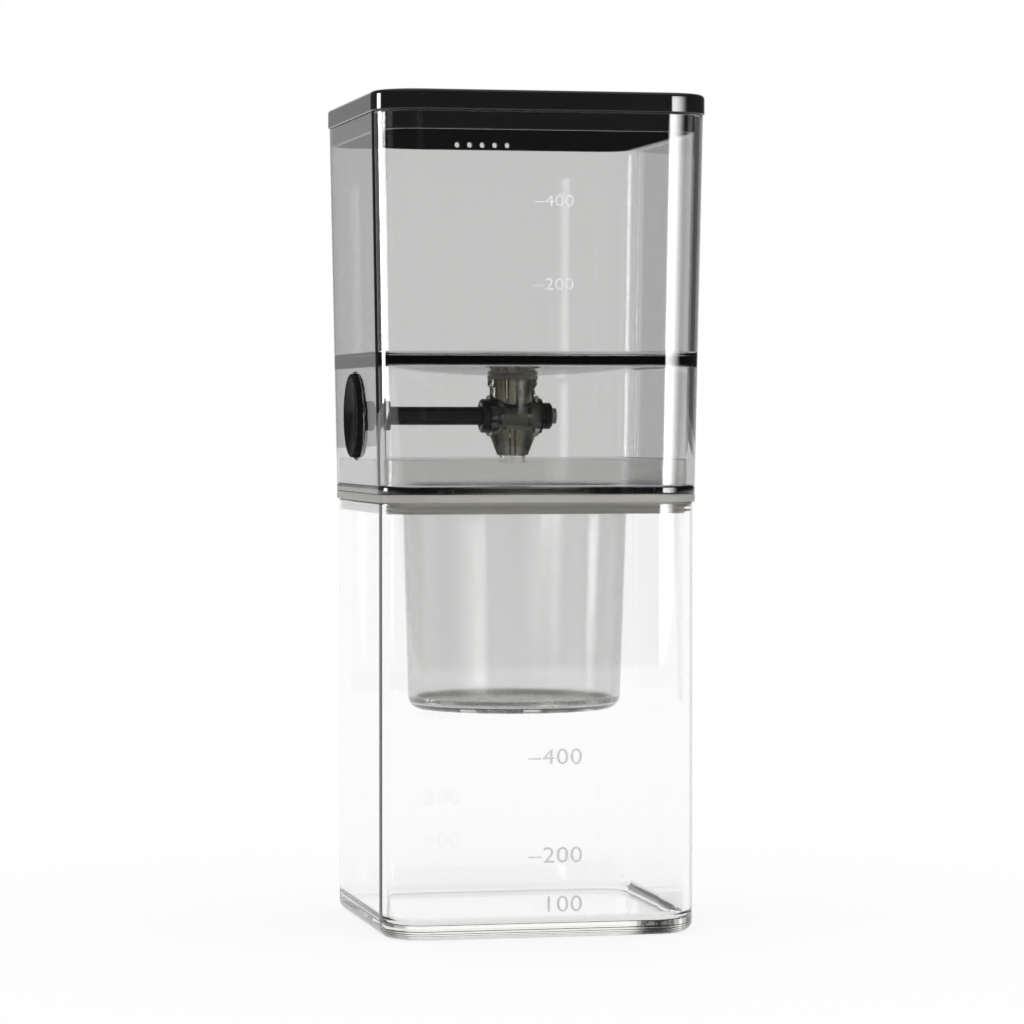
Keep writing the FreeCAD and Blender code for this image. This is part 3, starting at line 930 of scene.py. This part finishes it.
def make_marks():
    """Volume numbers with their dashes on the tank and the vessel."""
    for words, z in (("–400", 217.5 * mm), ("–200", 193.0 * mm)):
        place = (8.2 * mm, -tank_width(z) / 2 - mark_thickness, z)
        make_mark(words, place, 3.4 * mm, white_ink, "tank")
    for words, z in (("–400", 53.5 * mm), ("–200", 24.4 * mm), ("100", 9.9 * mm)):
        place = (11.3 * mm, vessel_low.y - mark_thickness, z)
        make_mark(words, place, 4.7 * mm, grey_ink, "vessel")


def dress_frame():
    """Better finishes for the CAD pieces that stay."""
    for node, material in (
        ("valve_gasket", silicone), ("valve_plug", acetal), ("valve_o_ring", rubber),
        ("retaining_washer", valve_black), ("valve_stem", valve_black),
    ):
        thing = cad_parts[node]
        thing.data.materials.clear()
        thing.data.materials.append(material)


make_vessel()
make_seal()
make_cup()
make_screen()
make_tank()
make_lid()
make_valve()
make_gland()
make_nut()
make_knob()
make_marks()
dress_frame()


# ---------------------------------------------------------------- floor, light and camera
def make_floor():
    """White table that looks evenly lit, as under a wide soft light."""
    form = bmesh.new()
    place = Matrix.Translation((0, table_size / 2 - table_front, -table_gap))
    bmesh.ops.create_grid(form, x_segments=1, y_segments=1, size=table_size / 2, matrix=place)
    floor = add_object("floor", form)
    material, nodes = new_finish("white table")
    is_camera, is_gloss, is_through = nodes.light_paths()
    plain = nodes.add("ShaderNodeBsdfDiffuse", None, Color=grey(floor_tone))
    daylight = (1 - floor_glow) * floor_tone * room_light
    strength = (1 - daylight) / floor_glow
    glow = nodes.add("ShaderNodeEmission", None, Color=grey(1.0), Strength=strength)
    share = is_camera * floor_glow + is_gloss.maths("MAXIMUM", is_through) * floor_glow_through
    mixed = nodes.add("ShaderNodeMixShader", None, share, plain, glow)
    nodes.finish(mixed)
    floor.data.materials.append(material)


def make_world():
    """Studio of a backdrop, two upright light boxes and an overhead light.

    The swing is the level bearing from straight ahead in degrees, right positive.
    Mirrored rays see the boxes in full; rays that went through plastic see them dimmer.
    """
    world = bpy.data.worlds.new("studio")
    bpy.context.scene.world = world
    nodes = Nodes(world)
    way = nodes.add("ShaderNodeTexCoord", out="Generated")
    turned_way = nodes.add("ShaderNodeMapping", None, way, None, (0, 0, view_turn))
    side, ahead, up = nodes.several("ShaderNodeSeparateXYZ", "XYZ", turned_way)
    swing = side.maths("ARCTAN2", ahead) * (180 / math.pi)
    bearing = abs(swing)
    height = up.maths("ARCSINE") * (180 / math.pi)
    low_down = height.ramp(5.0, 7.5, 1.0, 0.0)

    # What a mirrored ray sees: a fading backdrop, the boxes low down, and light from above.
    backdrop = bearing.ramp(14.0, 19.0, 1.0, 0.45) - bearing.ramp(27.0, 30.0, 0.0, 0.37)
    left_box = swing.between(-84.0, -70.0, 1.5)
    right_box = swing.ramp(106.0, 144.0) - swing.ramp(148.0, 152.5)
    overhead = height.ramp(40.0, 60.0, 0.0, 0.7)
    dim = backdrop + overhead
    gloss = dim + (left_box + right_box) * low_down * box_gloss

    # What a ray sees through the plastic: bright where it leaves square to a wall or upwards.
    from_side = abs((abs(swing + math.degrees(view_turn)) + 45.0).maths("MODULO", 90.0) - 45.0)
    square_on = from_side.ramp(8.0, 11.0, 1.0, 0.0) * bearing.ramp(100.0, 125.0, 1.0, 0.35)
    straight = bearing.ramp(12.0, 16.0, 1.1, 0.0).maths("MAXIMUM", square_on)
    seen_past = straight.maths("MAXIMUM", height.ramp(30.0, 45.0, 0.0, 0.9))
    seen_box = (left_box * left_box_through + right_box * right_box_through) * low_down
    through = seen_past.maths("MAXIMUM", dim + seen_box + haze_through)

    is_camera, is_gloss, is_through = nodes.light_paths()
    seen = is_camera.maths("MAXIMUM", is_gloss.maths("MAXIMUM", is_through))
    rest = (1 - seen) * room_light
    level = is_camera + (1 - is_through) * is_gloss * gloss + is_through * through + rest
    sky = nodes.add("ShaderNodeBackground", None, Color=grey(1.0), Strength=level)
    nodes.add("ShaderNodeOutputWorld", None, Surface=sky)


def make_camera():
    """Long lens a little above mid-height, aimed at the middle of the height."""
    lens = bpy.data.cameras.new("camera")
    camera = bpy.data.objects.new("camera", lens)
    bpy.context.scene.collection.objects.link(camera)
    place = Vector((-math.sin(view_turn), -math.cos(view_turn), 0)) * view_distance
    camera.location = place + Vector((0, 0, eye_height))
    drop = math.atan((eye_height - (cad_low.z + cad_high.z) / 2) / view_distance)
    camera.rotation_euler = (math.pi / 2 - drop, 0, -view_turn)
    lens.lens = focal_length
    lens.clip_start = 0.05
    bpy.context.scene.camera = camera


make_floor()
make_world()
make_camera()

scene = bpy.context.scene
scene.view_settings.view_transform = "Standard"
scene.cycles.max_bounces = 32
scene.cycles.transmission_bounces = 32
scene.cycles.transparent_max_bounces = 32
scene.cycles.glossy_bounces = 12
